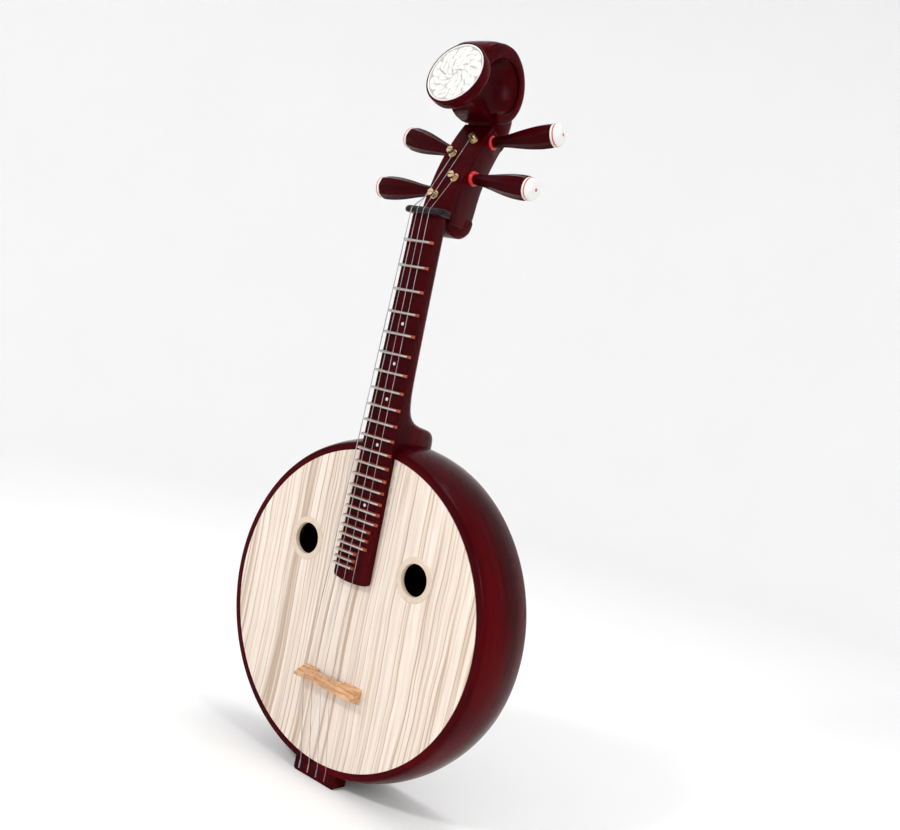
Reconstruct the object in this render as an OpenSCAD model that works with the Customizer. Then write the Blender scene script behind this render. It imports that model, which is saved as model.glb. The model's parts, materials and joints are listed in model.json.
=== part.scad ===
// Four-string moon lute (ruan): round sound box, fretted neck, geared tuners, scroll head.
// Millimetres. +Z runs up the neck, the soundboard faces -Y, and the origin is at the
// centre of the tail block's bottom face.

/* [Sound box] */
// Outer radius of the sound box at its front and back edges
body_r = 180; // [176:1:184]
// How far the side bulges beyond its edges
side_bulge = 7; // [5:1:9]
// Depth of the sound box from front to back
body_depth = 78; // [74:1:84]
// Thickness of the side, front to back edge
side_t = 8; // [7:0.5:9]
// Thickness of the soundboard and of the back board
board_t = 4.5; // [3.5:0.5:5]
// Radius of each sound hole
hole_r = 17.2; // [15:0.2:18]
// Sideways distance of each sound hole from the middle
hole_x = 80.5; // [76:0.5:90]
// Height of the sound holes above the soundboard's centre
hole_z = 56.5; // [52:0.5:60]

/* [Neck and strings] */
// Distance from the nut to the ideal bridge line, which sets the fret spacing
scale_len = 510; // [505:1:512]
// Height of the nut above the soundboard's centre
nut_z = 428.5; // [428:0.5:429]
// Number of frets
fret_count = 24; // [19:1:24]
// Width of the fingerboard at the nut
board_w_nut = 35.5; // [34:0.5:37]
// Width of the fingerboard where the string length ends
board_w_tail = 52; // [50:0.5:54]
// Thickness of the fingerboard
board_h = 8; // [7:0.5:8]
// Depth of the neck behind the fingerboard
neck_depth = 15.5; // [14:0.5:17]
// Length of the bridge
bridge_len = 86; // [80:1:92]
// Height of the bridge above the soundboard
bridge_h = 17; // [16:0.5:18]

/* [Head] */
// Radius of the curve that the pegbox follows
head_r = 220; // [219:0.5:221]
// Half the width of the pegbox
pegbox_hw = 20; // [20:0.5:21]
// Outer radius of the scroll
scroll_r = 42; // [41:0.5:42.5]
// Half the width of the scroll
scroll_hw = 26; // [24:0.5:28]
// Radius of the carved bone medallion
medal_r = 34; // [32:0.5:34.5]

/* [Tuners] */
// Length of a peg handle without its cap
peg_len = 72; // [66:1:76]
// Largest radius of a peg handle
peg_r = 13; // [12:0.25:13.5]
// Teeth on a worm wheel
wheel_teeth = 14; // [14:1:14]

/* [Hidden] */
$fn = 64;

// Placement of the sound box in the row frame
face_y = -10;
disc_z = 192;
wood_dark = [0.27, 0.03, 0.06];
wood_pale = [0.87, 0.8, 0.72];
bone = [0.95, 0.94, 0.9];
brass = [0.8, 0.65, 0.35];
steel = [0.75, 0.75, 0.77];

// Sound box
board_r = body_r - side_t;
arc_steps = 12;
lining_w = 6;
lining_d = 7.5;
neck_block_hw = 28;
neck_block_z = 150;
tail_block_hw = 22;
tenon_hw = 10;
tenon_y = [14, 58];
brace_z = [95, -25];
back_brace_z = [70, -45];
brace_w = 8;
brace_h = 10;
post_z = -86;
ring_w = 6.8;
ring_proud = 1.2;
socket_r = hole_r + 3;

// Neck
board_end_z = 30;
fret_over = 1.2;
fret_base_h = 3.5;
fret_cap_r = 1.3;
dot_spaces = [4, 6, 8, 11, 16];
dot_r = 1.8;
nut_top_y = -15.5;
nut_hw = 25;

// Pegbox curve: centre of its arc, in (y, z) of the soundboard's centre
arc_y = 6.5 + head_r * cos(5);
arc_z = nut_z - head_r * sin(5);
cover_t = 4;
cover_a = [6.2, 36];
cavity_a = [8.5, 34];
cavity_r = [head_r - 21, head_r - cover_t];
cavity_hw = 15.5;
knob_y = 36;
knob_z = nut_z + 3.5;
knob_r = 19.5;

// Scroll and medallion
scroll_y = 43;
scroll_z = 578;
scroll_hole_r = 29;
scroll_lift = 4;
web_hw = 7;
medal_y = -8.3;
medal_z = 577.7;
medal_tilt = 17;
frame_t = 16;

// Tuners: side, angle along the pegbox curve, and angle of the peg in the plate's plane
station_side = [1, -1, 1, -1];
station_a = [29.8, 24.6, 17, 11.4];
station_fan = [12, 12, -4, -1];
post_x = 9;
module_mm = 0.8;
wheel_r = module_mm * wheel_teeth / 2;
worm_r = 3.4;
gear_c = wheel_r + worm_r;
gear_d = 14;
thread_lead = PI * module_mm;
shaft_r = 3;
run_gap = 0.05;
collar_in = 9.5;
collar_out = 14.5;
collar_r = 8;
waist_r = 2.6;
wind_h = 3.5;

// Strings: radius, and sideways places at the nut, the bridge and the tail
string_r = [0.5, 0.4, 0.33, 0.27];
string_station = [3, 1, 0, 2];
nut_x = [for (i = [0 : 3]) -1.5 + (i - 1.5) * 8.3];
bridge_x = [for (i = [0 : 3]) -6.6 + (i - 1.5) * 13.6];
tail_x = [for (i = [0 : 3]) -2.4 + (i - 1.5) * 13];
crest_z = -84.5;
tail_string_z = [-176, -188];
string_sides = 12;

// ---------- helpers ----------

// Frame at the centre of the soundboard's front face
module face() translate([0, face_y, disc_z]) children();

// Extrudes a (y, z) outline along X, half each way
module slab(hw) rotate([90, 0, 90]) translate([0, 0, -hw]) linear_extrude(2 * hw) children();

// Points on an arc from angle a to angle b
function arc_pts(c, r, a, b, n) =
    [for (i = [0 : n]) c + r * [cos(a + (b - a) * i / n), sin(a + (b - a) * i / n)]];

// Ring sector in (y, z) about the pegbox arc's centre; angles rise from straight forward
module head_sector(r, a) polygon(concat(
    arc_pts([arc_y, arc_z], r[1], 180 - a[0], 180 - a[1], arc_steps),
    arc_pts([arc_y, arc_z], r[0], 180 - a[1], 180 - a[0], arc_steps)));

// Closed solid through a list of equal-sized rings of points
module loft(rings) {
    n = len(rings[0]);
    m = len(rings);
    polyhedron([for (r = rings) each r], concat(
        [[for (i = [n - 1 : -1 : 0]) i]],
        [for (k = [0 : m - 2], i = [0 : n - 1], h = [0, 1])
            let (a = k * n + i, b = k * n + (i + 1) % n)
            h == 0 ? [a, b, a + n] : [b, b + n, a + n]],
        [[for (i = [0 : n - 1]) (m - 1) * n + i]]));
}

// Ring of points about p, square to direction d, which never runs along X
function tube_ring(p, d, r) =
    let (n = d / norm(d), u0 = [1, 0, 0] - n[0] * n, u = u0 / norm(u0), v = cross(n, u))
    [for (i = [0 : string_sides - 1]) let (a = 360 * i / string_sides) p + r * (cos(a) * u + sin(a) * v)];

// Round wire through a list of points
module wire(pts, r) {
    m = len(pts);
    dirs = [for (k = [0 : m - 2]) (pts[k + 1] - pts[k]) / norm(pts[k + 1] - pts[k])];
    loft([for (k = [0 : m - 1]) tube_ring(pts[k], dirs[max(k - 1, 0)] + dirs[min(k, m - 2)], r)]);
}

// Frame on the pegbox plate at tuner i, +Z out of the plate and +Y up along it
module station(i) face()
    translate([station_side[i] * post_x, arc_y, arc_z]) rotate([90 - station_a[i], 0, 0])
    translate([0, 0, head_r]) children();

// Frame of tuner i turned to its peg, +X along the peg's shaft towards +X
module peg_plane(i) station(i) rotate([0, 0, station_side[i] * station_fan[i]]) children();

// Frame on the peg's axis, +Z out of the pegbox
module peg_axis(i) peg_plane(i) translate([0, gear_c, -gear_d])
    rotate([0, station_side[i] * 90, 0]) children();

// Point in the soundboard's frame on tuner i: height h above the plate, sideways x
function on_plate(i, x, h) = [x, arc_y - (head_r + h) * cos(station_a[i]),
    arc_z + (head_r + h) * sin(station_a[i])];

// ---------- sound box ----------

bulge_r = (pow(body_depth / 2, 2) + pow(side_bulge, 2)) / (2 * side_bulge);
bulge_a = asin(body_depth / 2 / bulge_r);

// Convex side line: (radius, depth) points from the front edge to the back edge
function side_line(grow) = arc_pts([body_r + side_bulge - bulge_r, body_depth / 2],
    bulge_r + grow, -bulge_a, bulge_a, arc_steps);

module turned() rotate([-90, 0, 0]) rotate_extrude($fn = 128) children();

// Everything inside the outer surface of the side
module box_envelope() turned() polygon(concat([[0, 0]], side_line(0), [[0, body_depth]]));

// Everything inside the inner surface of the side
module inner_envelope() turned() polygon([[0, board_t], [board_r, board_t], [board_r, 14],
    [board_r + 6, 30], [board_r + 6, body_depth - 30], [board_r, body_depth - 14],
    [board_r, body_depth - board_t], [0, body_depth - board_t]]);

module tenon(gap = 0) translate([-tenon_hw, tenon_y[0], board_r - 17])
    cube([2 * tenon_hw, tenon_y[1] - tenon_y[0], 28 + gap]);

module side_rim() color(wood_dark) face() difference() {
    turned() polygon(concat([[board_r, 0]], side_line(0), [[board_r, body_depth],
        [board_r, body_depth - 14], [board_r + 6, body_depth - 30], [board_r + 6, 30],
        [board_r, 14]]));
    tenon(5);
}

module hole_places() for (s = [-1, 1]) translate([s * hole_x, 0, hole_z]) children();

module soundboard() color(wood_pale) face() difference() {
    rotate([-90, 0, 0]) cylinder(h = board_t, r = board_r, $fn = 128);
    hole_places() rotate([-90, 0, 0]) translate([0, 0, -1]) cylinder(h = board_t + 2, r = socket_r);
}

module back_board() color(wood_dark) face() translate([0, body_depth - board_t, 0])
    rotate([-90, 0, 0]) cylinder(h = board_t, r = board_r, $fn = 128);

module end_blocks() {
    translate([-neck_block_hw, 0, neck_block_z]) cube([2 * neck_block_hw, body_depth, 60]);
    translate([-tail_block_hw, 0, -210]) cube([2 * tail_block_hw, body_depth, 60]);
}

module lining(y) color(wood_pale) face() difference() {
    translate([0, y, 0]) rotate([-90, 0, 0]) difference() {
        cylinder(h = lining_d, r = board_r, $fn = 128);
        translate([0, 0, -1]) cylinder(h = lining_d + 2, r = board_r - lining_w, $fn = 128);
    }
    end_blocks();
}

module front_lining() lining(board_t);
module back_lining() lining(body_depth - board_t - lining_d);

module neck_block() color(wood_pale) face() difference() {
    intersection() {
        inner_envelope();
        translate([-neck_block_hw, 0, neck_block_z]) cube([2 * neck_block_hw, body_depth, 60]);
    }
    tenon(5);
}

module tail_inner_block() color(wood_pale) face() intersection() {
    inner_envelope();
    translate([-tail_block_hw, 0, -210]) cube([2 * tail_block_hw, body_depth, 60]);
}

module braces(places, y) color(wood_pale) face() intersection() {
    for (z = places) translate([-body_r, y, z - brace_w / 2]) cube([2 * body_r, brace_h, brace_w]);
    rotate([-90, 0, 0]) cylinder(h = body_depth, r = board_r - lining_w - 1);
}

module soundboard_braces() braces(brace_z, board_t);
module back_braces() braces(back_brace_z, body_depth - board_t - brace_h);

module sound_post() color(wood_pale) face() translate([0, board_t, post_z])
    rotate([-90, 0, 0]) cylinder(h = body_depth - 2 * board_t, r = 4);

module hole_ring(s) color(wood_pale) face() translate([s * hole_x, 0, hole_z])
    rotate([-90, 0, 0]) rotate_extrude() polygon([[hole_r, -ring_proud], [hole_r + ring_w - 1, -ring_proud],
        [hole_r + ring_w, 0], [socket_r, 0], [socket_r, board_t], [hole_r, board_t]]);

module sound_hole_ring_left() hole_ring(-1);
module sound_hole_ring_right() hole_ring(1);

// ---------- neck and fingerboard ----------

function board_w(z) = board_w_nut + (board_w_tail - board_w_nut) * (nut_z - z) / scale_len;
function fret_z(n) = nut_z - scale_len * (1 - pow(2, -n / 12));

// Heel stations: (height, depth behind the soundboard's front plane, half width)
heel = [[nut_z, neck_depth, 17.2], [330, neck_depth, 18.6], [255, neck_depth, 20], [238, 16.5, 20.2],
    [224, 20.5, 20], [215, 26, 19.5], [208, 37, 19], [205, 52, 18.5], [203, 66, 18],
    [200, 73, 17.6], [194, 76.5, 17.2], [165, 77.5, 17]];

// Half-round section: flat in front, a flattened ellipse behind
function neck_ring(h) = [for (i = [0 : 16]) let (a = 180 * i / 16)
    [h[2] * cos(a), h[1] * pow(sin(a), 0.8), h[0]]];

module neck() color(wood_dark) face() {
    difference() {
        loft([for (h = heel) neck_ring(h)]);
        box_envelope();
    }
    tenon();
}

module fingerboard() color(wood_dark) face() difference() {
    rotate([90, 0, 0]) linear_extrude(board_h) polygon(concat(
        [[-board_w_nut / 2, nut_z], [-board_w(board_end_z) / 2, board_end_z + 4]],
        arc_pts([0, board_end_z + 112], 112, -101, -79, 6),
        [[board_w(board_end_z) / 2, board_end_z + 4], [board_w_nut / 2, nut_z]]));
    position_dot_shapes(0);
}

function fret_right(n) = n < 19 ? board_w(fret_z(n)) / 2 + fret_over : n < 22 ? 16.5 : 4.5;
function fret_left(n) = board_w(fret_z(n)) / 2 + fret_over;

module each_fret() for (n = [1 : fret_count])
    translate([-fret_left(n), -board_h, fret_z(n)])
        rotate([0, 90, 0]) linear_extrude(fret_left(n) + fret_right(n)) children();

module fret_bases() color("orangered") face() each_fret()
    polygon([[-1.6, 0], [1.6, 0], [fret_cap_r, -fret_base_h], [-fret_cap_r, -fret_base_h]]);

module fret_wires() color(steel) face() each_fret() translate([0, -fret_base_h]) intersection() {
    circle(fret_cap_r, $fn = 24);
    translate([-2, -2]) square([4, 2]);
}

module position_dot_shapes(proud) for (n = dot_spaces)
    translate([0, -board_h - proud, (fret_z(n) + fret_z(n + 1)) / 2])
        rotate([-90, 0, 0]) cylinder(h = 1 + proud, r = dot_r, $fn = 32);

module position_dots() color(bone) face() position_dot_shapes(0.05);

module nut() color([0.08, 0.04, 0.05]) face() difference() {
    slab(nut_hw) polygon([[6, nut_z], [nut_top_y + 3, nut_z], [nut_top_y, nut_z + 1.5],
        [nut_top_y, nut_z + 4], [nut_top_y + 5, nut_z + 8], [4, nut_z + 8]]);
    for (s = [-1, 1]) translate([s * (nut_hw + 3), -12, nut_z - 1]) rotate([0, 0, 45])
        cube([8, 8, 20], center = true);
    pegbox_solid();
}

// ---------- pegbox, scroll and medallion ----------

// Back of the pegbox: (angle, radius from the arc's centre, half width at the back)
pegbox_back = [[5, 170, 11], [12, 172.5, 12], [19, 176, 12.5], [26, 179, 13], [36, 184.5, 14]];

function pegbox_ring(p) = [for (q = [[-pegbox_hw, head_r - cover_t], [-pegbox_hw, head_r - 20], [-p[2], p[1]],
    [p[2], p[1]], [pegbox_hw, head_r - 20], [pegbox_hw, head_r - cover_t]])
    [q[0], arc_y - q[1] * cos(p[0]), arc_z + q[1] * sin(p[0])]];

module pegbox_solid() {
    loft([for (p = pegbox_back) pegbox_ring(p)]);
    translate([0, knob_y, knob_z]) rotate([0, 90, 0]) cylinder(h = 30, r = knob_r, center = true);
}

module pegbox() color(wood_dark) face() difference() {
    union() {
        pegbox_solid();
        slab(17) polygon([[0, nut_z], [knob_y, nut_z], [knob_y, nut_z + 12], [9, nut_z + 12], [6, nut_z]]);
    }
    slab(cavity_hw) head_sector(cavity_r, cavity_a);
    slab(60) head_sector([head_r - cover_t, head_r + 30], [4, 40]);
    difference() {
        translate([-30, -50, nut_z - 60]) cube([60, 50 + knob_y, 60]);
        translate([-30, neck_depth, nut_z - 60]) cube([60, 60, 60]);
    }
    translate([0, -face_y, -disc_z]) for (i = [0 : 3]) {
        peg_axis(i) cylinder(h = 30, r = shaft_r + run_gap);
        peg_axis(i) translate([0, 0, collar_in]) cylinder(h = 30, r = collar_r);
        station(i) translate([0, 0, -26]) cylinder(h = 10, r = 1.5 + run_gap);
    }
}

module pegbox_cover() color(wood_dark) face() difference() {
    slab(pegbox_hw) head_sector([head_r - cover_t, head_r], cover_a);
    translate([0, -face_y, -disc_z]) for (i = [0 : 3]) station(i) {
        translate([0, 0, -8]) cylinder(h = 12, r = 4.2);
    }
}

module medal_frame() translate([0, medal_y, medal_z]) rotate([90 - medal_tilt, 0, 0]) children();

// Side view of the scroll: a round back, a nearly level top running forward to the medallion.
// A web in the middle closes the scroll, so it is scooped out from each side.
module scroll_outline() difference() {
    polygon(concat(arc_pts([scroll_y, scroll_z + scroll_lift], scroll_r, -100, 95, 24),
        [[20, 618], [0, 611], [0, 566], [16, 562]]));
    translate([scroll_y, scroll_z]) circle(scroll_hole_r, $fn = 48);
    polygon([[scroll_y, scroll_z], [-10, 575], [-10, 520], [46, 520], [49, 549]]);
}

module scroll_head() color(wood_dark) face() difference() {
    union() {
        slab(scroll_hw) scroll_outline();
        slab(pegbox_hw) polygon([[46, 536], [77, 516], [82, 534], [83, 556], [66, 560], [47, 550]]);
        slab(web_hw) polygon([[46, 536], [50, 548], [74, 578], [43, 609], [14, 600], [0, 580],
            [-2, 562], [4, 553], [22, 545]]);
    }
    slab(60) head_sector([60, head_r + 30], [0, 36]);
    medal_frame() translate([-60, -60, -frame_t]) cube([120, 120, 60]);
}

module medallion_frame() color(wood_dark) face() medal_frame() difference() {
    translate([0, 0, -frame_t]) cylinder(h = frame_t, r = medal_r + 2.5);
    translate([0, 0, -4]) cylinder(h = 5, r = medal_r);
}

module bone_medallion() color(bone) face() medal_frame() translate([0, 0, -4]) {
    cylinder(h = 4.5, r = medal_r);
    translate([0, 0, 4.5]) cylinder(h = 1.5, r1 = medal_r, r2 = medal_r - 6);
}

// ---------- tuners ----------

module peg_collars() color("red") for (i = [0 : 3]) peg_axis(i)
    translate([0, 0, collar_in]) difference() {
        cylinder(h = collar_out - collar_in, r = collar_r);
        translate([0, 0, -1]) cylinder(h = 9, r = shaft_r + run_gap);
    }

module post_bushings() color(brass) for (i = [0 : 3]) station(i) difference() {
    union() {
        translate([0, 0, -cover_t]) cylinder(h = cover_t, r = 4.2);
        translate([0, 0, 0.15]) cylinder(h = 0.6, r = 4.8);
        cylinder(h = 0.5, r = 4.2);
    }
    translate([0, 0, -8]) cylinder(h = 12, r = 2.2 + run_gap);
}

// Blocks on the cavity's floor that carry the worms' inner ends
module gear_brackets() color(brass) for (i = [0 : 3]) difference() {
    intersection() {
        peg_axis(i) translate([-6, -3, -11.5]) translate([-3, 0, 0]) cube([20, 6, 3]);
        face() slab(cavity_hw) head_sector(cavity_r, cavity_a);
    }
    peg_axis(i) translate([0, 0, -14]) cylinder(h = 8, r = 1.5 + run_gap);
}

// Handle outline: (distance from the collar, radius)
function handle_line() =
    [[0, 5.6], [8, 6], [20, 7.6], [34, 10], [48, 12.2], [60, peg_r], [peg_len, peg_r - 0.3]];

module peg_handle(i) color(wood_dark) peg_axis(i) translate([0, 0, collar_out + 0.3]) difference() {
    rotate([0, 0, 22.5]) rotate_extrude($fn = 8) polygon(concat([[0, 0]],
        [for (p = handle_line()) [p[1], p[0]]], [[0, peg_len]]));
    translate([0, 0, -1]) cylinder(h = 31, r = shaft_r);
}

module peg_cap(i) color(bone) peg_axis(i) translate([0, 0, collar_out + 0.3 + peg_len])
    rotate_extrude() polygon([[0, 0], [12, 0], [12, 3], [11.2, 6], [8.6, 8.6], [4.5, 9.8], [0, 10]]);

// One ridge of the worm's thread, as a ring of four corners turned along the axis
function thread_ring(k) = let (a = k * 22.5, z = thread_lead * (a + 90) / 360)
    [for (q = [[2.5, -0.62], [4.1, -0.18], [4.1, 0.18], [2.5, 0.62]])
        [q[0] * cos(a), q[0] * sin(a), z + q[1]]];

module worm_shaft(i) color(steel) {
    peg_axis(i) {
        translate([0, 0, -11.5]) cylinder(h = 4, r = 1.5);
        translate([0, 0, -8]) cylinder(h = 16, r = 2.7);
        translate([0, 0, 7.5]) cylinder(h = collar_out + 22, r = shaft_r);
    }
    peg_plane(i) translate([0, gear_c, -gear_d]) rotate([0, 90, 0])
        loft([for (k = [-36 : 28]) thread_ring(k)]);
}

module string_post(i) color(brass) station(i) {
    translate([0, 0, -24]) cylinder(h = 5, r = 1.5);
    translate([0, 0, -19]) cylinder(h = 19.9, r = 2.2);
    difference() {
        union() {
            translate([0, 0, 0.9]) cylinder(h = 1, r = 3.6);
            translate([0, 0, 1.9]) cylinder(h = 3.2, r = waist_r);
            translate([0, 0, 5.1]) cylinder(h = 3.4, r = 3.8);
        }
        translate([-5, -0.6, 6]) cube([10, 1.2, 4]);
    }
}

module worm_wheel(i) color(brass) peg_plane(i) translate([0, 0, -gear_d - 2]) linear_extrude(4)
    difference() {
        union() {
            circle(wheel_r - 0.9);
            for (k = [0 : wheel_teeth - 1]) rotate(90 + 360 * (k + 0.5) / wheel_teeth)
                polygon([[wheel_r - 1.2, -0.8], [wheel_r + 0.6, -0.28], [wheel_r + 0.6, 0.28],
                    [wheel_r - 1.2, 0.8]]);
        }
        circle(2.2);
    }

module peg_handle_1() peg_handle(0);
module peg_handle_2() peg_handle(1);
module peg_handle_3() peg_handle(2);
module peg_handle_4() peg_handle(3);
module peg_cap_1() peg_cap(0);
module peg_cap_2() peg_cap(1);
module peg_cap_3() peg_cap(2);
module peg_cap_4() peg_cap(3);
module worm_shaft_1() worm_shaft(0);
module worm_shaft_2() worm_shaft(1);
module worm_shaft_3() worm_shaft(2);
module worm_shaft_4() worm_shaft(3);
module string_post_1() string_post(0);
module string_post_2() string_post(1);
module string_post_3() string_post(2);
module string_post_4() string_post(3);
module worm_wheel_1() worm_wheel(0);
module worm_wheel_2() worm_wheel(1);
module worm_wheel_3() worm_wheel(2);
module worm_wheel_4() worm_wheel(3);

// ---------- strings, bridge and tail ----------

// Turns of string on the post's waist, as plain rings
module string_winding(i) color(steel) let (r = string_r[[2, 1, 3, 0][i]]) station(i)
    for (k = [0 : 2]) translate([0, 0, wind_h + (k - 1) * 2 * r])
        rotate_extrude() translate([waist_r + r, 0]) circle(r, $fn = 16);

module string_winding_1() string_winding(0);
module string_winding_2() string_winding(1);
module string_winding_3() string_winding(2);
module string_winding_4() string_winding(3);

// Strings 1 and 4 leave their posts on the outside, 2 and 3 on the inside
function leave_x(i) = let (s = string_station[i], e = i == 0 || i == 3 ? 1 : -1)
    station_side[s] * (post_x + e * (waist_r + 3 * string_r[i] + 0.25));

module string_wire(i) color(steel) face() let (r = string_r[i]) wire([
    [tail_x[i], -r - 0.1, tail_string_z[1]],
    [tail_x[i], -r - 0.1, tail_string_z[0]],
    [bridge_x[i], -bridge_h - r, crest_z],
    [nut_x[i], nut_top_y - r - 0.03, nut_z + 1.4],
    [nut_x[i], nut_top_y - r - 0.03, nut_z + 4.4],
    on_plate(string_station[i], leave_x(i), wind_h)], r);

module string_1() string_wire(0);
module string_2() string_wire(1);
module string_3() string_wire(2);
module string_4() string_wire(3);

module silk_ends() color([0.45, 0.5, 0.62]) face() for (i = [0 : 3])
    translate([tail_x[i], -string_r[i] - 0.1, tail_string_z[1]]) difference() {
        cylinder(h = 9, r = string_r[i] + 0.4, $fn = 24);
        translate([0, 0, -1]) cylinder(h = 12, r = string_r[i], $fn = 16);
        translate([-3, string_r[i] + 0.1, -1]) cube([6, 3, 12]);
    }

module bridge() color([0.9, 0.65, 0.42]) face() difference() {
    slab(bridge_len / 2) polygon([[0, -92], [-bridge_h, -86], [-bridge_h, -83], [0, -75]]);
    translate([-22, -4, -95]) cube([40, 5, 25]);
}

module tail_block() color(wood_dark) face() difference() {
    translate([-31, 0, -disc_z]) cube([62, 20, 32]);
    box_envelope();
}

side_rim();
soundboard();
back_board();
front_lining();
back_lining();
neck_block();
tail_inner_block();
soundboard_braces();
back_braces();
sound_post();
sound_hole_ring_left();
sound_hole_ring_right();
neck();
fingerboard();
fret_bases();
fret_wires();
position_dots();
nut();
pegbox();
pegbox_cover();
scroll_head();
medallion_frame();
bone_medallion();
peg_collars();
post_bushings();
gear_brackets();
peg_handle_1();
peg_handle_2();
peg_handle_3();
peg_handle_4();
peg_cap_1();
peg_cap_2();
peg_cap_3();
peg_cap_4();
worm_shaft_1();
worm_shaft_2();
worm_shaft_3();
worm_shaft_4();
string_post_1();
string_post_2();
string_post_3();
string_post_4();
worm_wheel_1();
worm_wheel_2();
worm_wheel_3();
worm_wheel_4();
string_winding_1();
string_winding_2();
string_winding_3();
string_winding_4();
string_1();
string_2();
string_3();
string_4();
bridge();
tail_block();
silk_ends();
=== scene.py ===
"""Looks of a four-string moon lute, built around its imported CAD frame."""

import json
import math

import bmesh
import bpy
import numpy as np
from mathutils import Matrix, Vector


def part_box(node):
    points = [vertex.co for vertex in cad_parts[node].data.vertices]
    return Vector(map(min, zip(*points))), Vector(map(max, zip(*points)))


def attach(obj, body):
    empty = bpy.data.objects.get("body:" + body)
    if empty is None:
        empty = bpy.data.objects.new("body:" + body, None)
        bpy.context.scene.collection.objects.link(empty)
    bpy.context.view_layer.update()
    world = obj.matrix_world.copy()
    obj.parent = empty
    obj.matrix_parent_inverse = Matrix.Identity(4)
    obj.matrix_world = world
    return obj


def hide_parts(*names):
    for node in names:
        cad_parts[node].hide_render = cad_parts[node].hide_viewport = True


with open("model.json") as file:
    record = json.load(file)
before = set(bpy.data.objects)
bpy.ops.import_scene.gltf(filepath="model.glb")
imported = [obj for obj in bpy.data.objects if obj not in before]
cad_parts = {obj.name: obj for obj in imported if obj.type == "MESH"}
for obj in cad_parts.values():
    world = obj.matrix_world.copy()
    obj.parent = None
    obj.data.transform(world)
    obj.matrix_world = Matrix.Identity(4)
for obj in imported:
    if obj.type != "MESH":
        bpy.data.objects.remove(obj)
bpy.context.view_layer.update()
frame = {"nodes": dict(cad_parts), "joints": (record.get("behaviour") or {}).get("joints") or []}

MM = 0.001
BOARD_LO, BOARD_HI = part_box("soundboard")
FACE_Y = BOARD_LO.y
DISC_Z = (BOARD_LO.z + BOARD_HI.z) / 2
BOARD_R = (BOARD_HI.x - BOARD_LO.x) / 2 / MM
RIM_LO, RIM_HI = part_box("side_rim")
BODY_DEPTH = (RIM_HI.y - RIM_LO.y) / MM
RIM_R = (RIM_HI.x - RIM_LO.x) / 2 / MM
RIM_BULGE = 7

NUT_Z = 428.5
SCALE_LEN = 510
FRETS = 24
BOARD_W_NUT = 35.5
BOARD_W_TAIL = 52
BOARD_H = 8
BOARD_END_Z = 30
NUT_TOP_Y = -15.5
ARC_R = 220
ARC_START = 5
ARC_Y = 6.5 + ARC_R * math.cos(math.radians(ARC_START))
ARC_Z = NUT_Z - ARC_R * math.sin(math.radians(ARC_START))
COVER_T = 4
PLATE_HW = 20
SCROLL_Y, SCROLL_Z = 43, 578
MEDAL_Y, MEDAL_Z, MEDAL_TILT, MEDAL_R = -8.3, 577.7, 17, 34
MEDAL_LIP = 2.5
CREST_Z, BRIDGE_H = -84.5, 17
TAIL_Z = (-176, -188)
STRING_R = (0.5, 0.4, 0.33, 0.27)
STRING_STATION = (4, 2, 1, 3)
NUT_X = [-1.5 + (i - 1.5) * 8.3 for i in range(4)]
BRIDGE_X = [-6.6 + (i - 1.5) * 13.6 for i in range(4)]
TAIL_X = [-2.4 + (i - 1.5) * 13 for i in range(4)]
WAIST_R, WIND_H = 2.6, 3.5


# ---------- geometry helpers ----------

def at(x, y, z):
    """Point given in millimetres from the centre of the soundboard's front face."""
    return Vector((x * MM, FACE_Y + y * MM, DISC_Z + z * MM))


def on_head(x, r, a):
    """Point on the pegbox curve: radius r from the curve's centre at angle a."""
    a = math.radians(a)
    return at(x, ARC_Y - r * math.cos(a), ARC_Z + r * math.sin(a))


def smooth(rows, steps):
    """Catmull-Rom curve through rows of numbers, with steps points for each stretch."""
    rows = np.array(rows, float)
    ends = np.vstack([2 * rows[0] - rows[1], rows, 2 * rows[-1] - rows[-2]])
    out = []
    for k in range(1, len(ends) - 2):
        a, b, c, d = ends[k - 1:k + 3]
        for t in np.linspace(0, 1, steps, endpoint=False):
            out.append(0.5 * (2 * b + (c - a) * t + (2 * a - 5 * b + 4 * c - d) * t * t
                              + (3 * b - a - 3 * c + d) * t ** 3))
    out.append(rows[-1])
    return out


def loft(rings, caps=True, closed=False):
    """Vertices and faces of a skin through equal rings; closed joins the last ring to the first."""
    n, m = len(rings[0]), len(rings)
    verts = [tuple(p) for ring in rings for p in ring]
    faces = []
    for k in range(m if closed else m - 1):
        for i in range(n):
            j, k2 = (i + 1) % n, (k + 1) % m
            faces.append((k * n + i, k * n + j, k2 * n + j, k2 * n + i))
    if caps and not closed:
        faces.append(tuple(range(n - 1, -1, -1)))
        faces.append(tuple((m - 1) * n + i for i in range(n)))
    return verts, faces


def lathe(line, n=96, closed=False):
    """Skin turned about Z from (radius, height) points; a closed line makes a ring."""
    rings = []
    for i in range(n):
        a = 2 * math.pi * i / n
        rings.append([(r * math.cos(a), r * math.sin(a), h) for r, h in line])
    n_line = len(line)
    verts = [p for ring in rings for p in ring]
    faces = []
    for i in range(n):
        j = (i + 1) % n
        for k in range(n_line if closed else n_line - 1):
            k2 = (k + 1) % n_line
            faces.append((i * n_line + k, j * n_line + k, j * n_line + k2, i * n_line + k2))
    return verts, faces


def arc(cx, cy, r, a, b, n):
    """Points on an arc from angle a to angle b."""
    turns = np.radians(np.linspace(a, b, n))
    return [(cx + r * math.cos(t), cy + r * math.sin(t)) for t in turns]


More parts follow.
